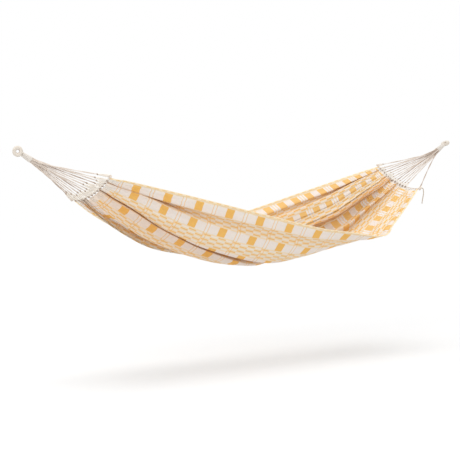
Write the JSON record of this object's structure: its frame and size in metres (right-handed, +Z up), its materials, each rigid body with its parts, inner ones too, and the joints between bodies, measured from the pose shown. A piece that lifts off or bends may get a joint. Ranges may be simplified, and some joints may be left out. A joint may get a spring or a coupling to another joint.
{
  "type": "rope hammock",
  "caption": "Woven cotton hammock bed, gathered at each end onto a fan of twisted cords that meet in a bound rope eye for a hook.",
  "frame": {"origin": "midway between the two rope eyes, on the straight line between the hooks that hold them", "axes": "+X along the line of the hooks to the right eye, +Y to the far side, +Z up"},
  "size_m": [3.0448, 0.4633, 0.616],
  "materials": {
    "cord": "matte",
    "eye_rope": "matte",
    "whipping": "matte",
    "cloth": "matte",
    "selvage": "matte"
  },
  "bodies": {
    "eyes": {"left_eye": "eye_rope", "right_eye": "eye_rope"},
    "bed": {"bed_cloth": "cloth", "near_selvage_cord": "selvage", "far_selvage_cord": "selvage", "left_header_cord": "cord", "right_header_cord": "cord", "left_high_corner_knot": "cord", "left_low_corner_knot": "cord", "right_high_corner_knot": "cord", "right_low_corner_knot": "cord", "left_whipping": "whipping", "right_whipping": "whipping", "left_cord_01": "cord", "left_cord_02": "cord", "left_cord_03": "cord", "left_cord_04": "cord", "left_cord_05": "cord", "left_cord_06": "cord", "left_cord_07": "cord", "left_cord_08": "cord", "left_cord_09": "cord", "left_cord_10": "cord", "left_cord_11": "cord", "left_cord_12": "cord", "left_cord_13": "cord", "left_cord_14": "cord", "right_cord_01": "cord", "right_cord_02": "cord", "right_cord_03": "cord", "right_cord_04": "cord", "right_cord_05": "cord", "right_cord_06": "cord", "right_cord_07": "cord", "right_cord_08": "cord", "right_cord_09": "cord", "right_cord_10": "cord", "right_cord_11": "cord", "right_cord_12": "cord", "right_cord_13": "cord", "right_cord_14": "cord", "corner_tail": "cord"}
  },
  "joints": [
    {"name": "swing", "type": "hinge", "parent": "eyes", "child": "bed", "pos_m": [0, 0, 0], "axis": [1, 0, 0], "range_deg": [-45, 45]}
  ]
}
